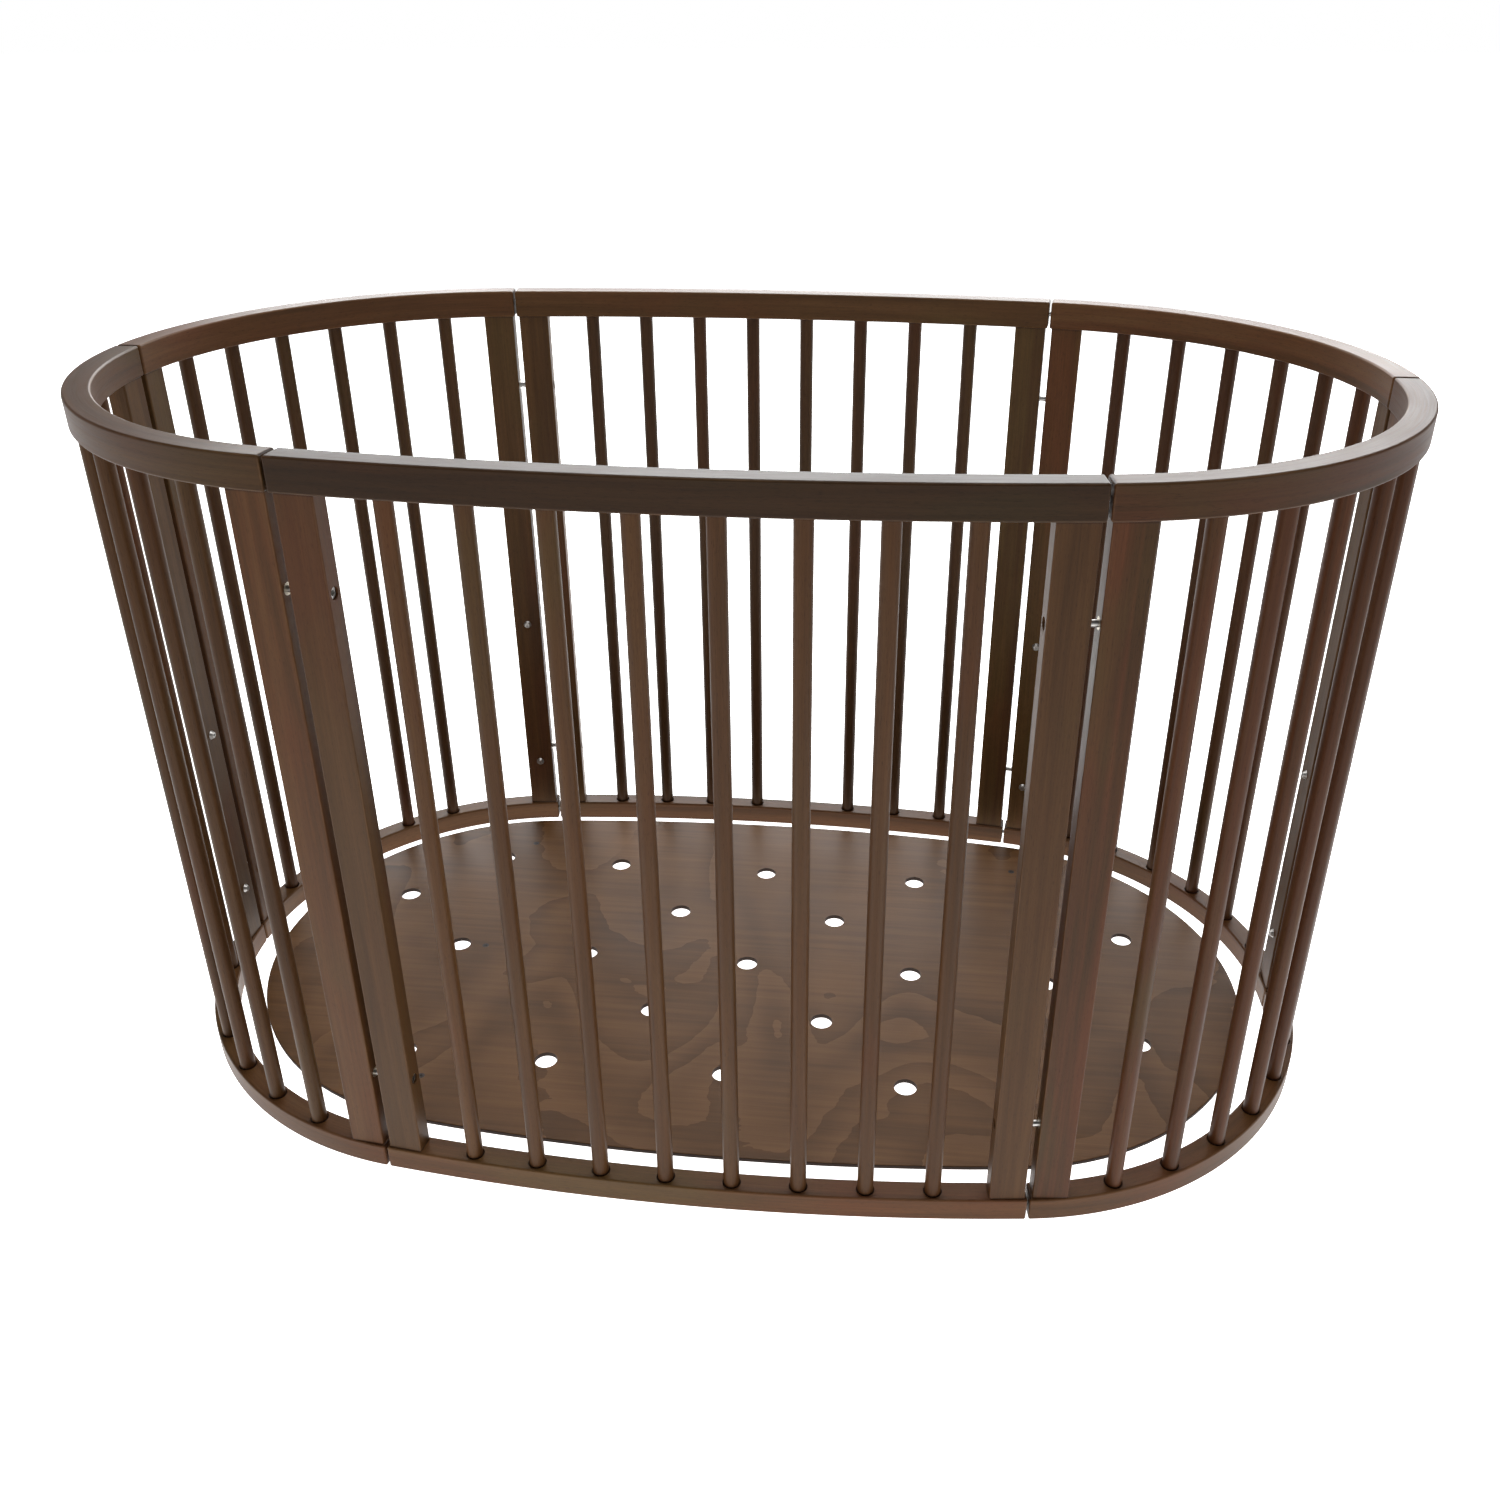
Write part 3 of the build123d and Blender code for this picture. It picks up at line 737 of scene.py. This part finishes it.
class PLAYPEN_OT_finish_stiles(bpy.types.Operator):
    """Stain the flat stiles at both ends of every panel"""

    bl_idname = "playpen.finish_stiles"
    bl_label = "Stiles"

    def execute(self, context):
        stain = context.scene.playpen_stain
        for index, panel in enumerate(SIDE_PANELS + QUARTER_PANELS):
            for side, name in enumerate(stile_names(panel)):
                dress(name, stile_finish(panel, name, stain, STILE_SEED + 2 * index + side))
        return {"FINISHED"}


class PLAYPEN_OT_finish_bars(bpy.types.Operator):
    """Stain the round bars of every panel"""

    bl_idname = "playpen.finish_bars"
    bl_label = "Bars"

    def execute(self, context):
        stain = context.scene.playpen_stain
        for index, panel in enumerate(SIDE_PANELS + QUARTER_PANELS):
            dress(f"{panel}_bars", bar_finish(panel, stain, BAR_SEED + index))
        return {"FINISHED"}


class PLAYPEN_OT_finish_base(bpy.types.Operator):
    """Stain the plywood base board and its two battens"""

    bl_idname = "playpen.finish_base"
    bl_label = "Base board and battens"

    def execute(self, context):
        stain = context.scene.playpen_stain
        dress("base_board", board_finish(context.scene.playpen_board, stain))
        for seed, name in enumerate(("left_batten", "right_batten"), BATTEN_SEED):
            dress(name, batten_finish(name, stain, seed))
        return {"FINISHED"}


class PLAYPEN_OT_finish_hardware(bpy.types.Operator):
    """Finish the dowels, bolts, inserts, pins and screws"""

    bl_idname = "playpen.finish_hardware"
    bl_label = "Dowels and hardware"

    def execute(self, context):
        hardware = context.scene.playpen_hardware
        beech = beech_finish(hardware)
        zinc = metal_finish("zinc_plated_steel", hardware.zinc_colour, 0.26, 1.0)
        inserts = metal_finish("insert_metal", hardware.insert_colour, 0.34, 1.0)
        # Painted shade: near-black screws stand in for the shadow in the screw holes
        shade_dark_screws = metal_finish("browned_screw_steel", hardware.screw_shade_colour, 0.45, 0.6)
        for panel in SIDE_PANELS + QUARTER_PANELS:
            dress(f"{panel}_dowels", beech)
        for seam in SEAMS:
            dress(f"{seam}_seam_bolts", zinc)
            dress(f"{seam}_seam_inserts", inserts)
        dress("rail_pins", zinc)
        dress("level_bolts", zinc)
        dress("level_inserts", inserts)
        dress("batten_screws", shade_dark_screws)
        return {"FINISHED"}


def studio_surround(studio):
    """Pale horizon that fades to a dim ceiling."""
    world = bpy.data.worlds.new("studio_surround")
    world.use_nodes = True
    nodes = world.node_tree.nodes
    links = world.node_tree.links
    direction = nodes.new("ShaderNodeTexCoord")
    split = nodes.new("ShaderNodeSeparateXYZ")
    fade = nodes.new("ShaderNodeMapRange")
    fade.interpolation_type = "SMOOTHSTEP"
    fade.inputs["From Min"].default_value = math.sin(studio.horizon_height)
    fade.inputs["From Max"].default_value = math.sin(studio.ceiling_height)
    tones = nodes.new("ShaderNodeMix")
    tones.data_type = "RGBA"
    tones.inputs[6].default_value = opaque(studio.horizon_colour)
    tones.inputs[7].default_value = opaque(studio.ceiling_colour)
    links.new(direction.outputs["Generated"], split.inputs[0])
    links.new(split.outputs["Z"], fade.inputs["Value"])
    links.new(fade.outputs[0], tones.inputs[0])
    links.new(tones.outputs[2], nodes["Background"].inputs["Color"])
    return world


def add_softbox(name, place, aim, size, power):
    """Large square light that looks at a point and isn't seen itself."""
    light = bpy.data.lights.new(name, "AREA")
    light.shape = "RECTANGLE"
    light.size, light.size_y = size
    light.energy = power
    lamp = bpy.data.objects.new(name, light)
    lamp.location = place
    lamp.rotation_euler = (Vector(aim) - Vector(place)).to_track_quat("-Z", "Y").to_euler()
    lamp.visible_camera = False
    bpy.context.scene.collection.objects.link(lamp)


def add_floor(studio):
    """Round pale floor under the pen."""
    mesh = bpy.data.meshes.new("studio_floor")
    angles = [math.tau * corner / FLOOR_CORNERS for corner in range(FLOOR_CORNERS)]
    radius = studio.floor_radius
    ring = [(radius * math.cos(angle), radius * math.sin(angle), 0.0) for angle in angles]
    mesh.from_pydata(ring, [], [list(range(FLOOR_CORNERS))])
    mesh.materials.append(floor_finish(studio))
    floor = bpy.data.objects.new("studio_floor", mesh)
    bpy.context.scene.collection.objects.link(floor)


class PLAYPEN_OT_set_studio(bpy.types.Operator):
    """Set the floor, the soft lights and the camera"""

    bl_idname = "playpen.set_studio"
    bl_label = "Studio"

    def execute(self, context):
        scene = context.scene
        studio = scene.playpen_studio
        add_floor(studio)

        scene.world = studio_surround(studio)
        for name, place, aim, size, power in SOFTBOXES:
            add_softbox(name, place, aim, size, getattr(studio, power))

        camera = bpy.data.cameras.new("studio_camera")
        camera.lens = studio.lens
        camera.sensor_width = SENSOR_WIDTH
        camera.shift_x, camera.shift_y = studio.shift
        camera.clip_end = VIEW_REACH
        eye = bpy.data.objects.new("studio_camera", camera)
        turn = Matrix.Rotation(studio.camera_turn, 4, "Z")
        dip = Matrix.Rotation(math.pi / 2 - studio.camera_dip, 4, "X")
        roll = Matrix.Rotation(studio.camera_roll, 4, "Z")
        eye.matrix_world = Matrix.Translation(studio.camera_place) @ turn @ dip @ roll
        scene.collection.objects.link(eye)
        scene.camera = eye
        scene.view_settings.view_transform = "Standard"
        return {"FINISHED"}


class PLAYPEN_PT_workshop(bpy.types.Panel):
    """Steps that finish the playpen"""

    bl_idname = "PLAYPEN_PT_workshop"
    bl_label = "Oval Playpen"
    bl_space_type = "VIEW_3D"
    bl_region_type = "UI"
    bl_category = "Playpen"

    def draw(self, context):
        for step in OPERATORS:
            self.layout.operator(step.bl_idname)
        for group in SETTINGS:
            box = self.layout.box()
            settings = getattr(context.scene, group)
            for name in SETTINGS[group].__annotations__:
                box.prop(settings, name)


OPERATORS = (
    PLAYPEN_OT_finish_rails,
    PLAYPEN_OT_finish_stiles,
    PLAYPEN_OT_finish_bars,
    PLAYPEN_OT_finish_base,
    PLAYPEN_OT_finish_hardware,
    PLAYPEN_OT_set_studio,
)

SETTINGS = {
    "playpen_stain": StainSettings,
    "playpen_board": BoardSettings,
    "playpen_hardware": HardwareSettings,
    "playpen_studio": StudioSettings,
}


def register():
    """Add the settings, the steps and the panel to Blender."""
    for name, group in SETTINGS.items():
        bpy.utils.register_class(group)
        setattr(bpy.types.Scene, name, bpy.props.PointerProperty(type=group))
    for step in OPERATORS:
        bpy.utils.register_class(step)
    bpy.utils.register_class(PLAYPEN_PT_workshop)


def unregister():
    """Take the settings, the steps and the panel out of Blender again."""
    bpy.utils.unregister_class(PLAYPEN_PT_workshop)
    for step in reversed(OPERATORS):
        bpy.utils.unregister_class(step)
    for name, group in SETTINGS.items():
        delattr(bpy.types.Scene, name)
        bpy.utils.unregister_class(group)


def main():
    """Finish every piece and set the studio."""
    register()
    bpy.ops.playpen.finish_rails()
    bpy.ops.playpen.finish_stiles()
    bpy.ops.playpen.finish_bars()
    bpy.ops.playpen.finish_base()
    bpy.ops.playpen.finish_hardware()
    bpy.ops.playpen.set_studio()


if __name__ == "__main__":
    main()
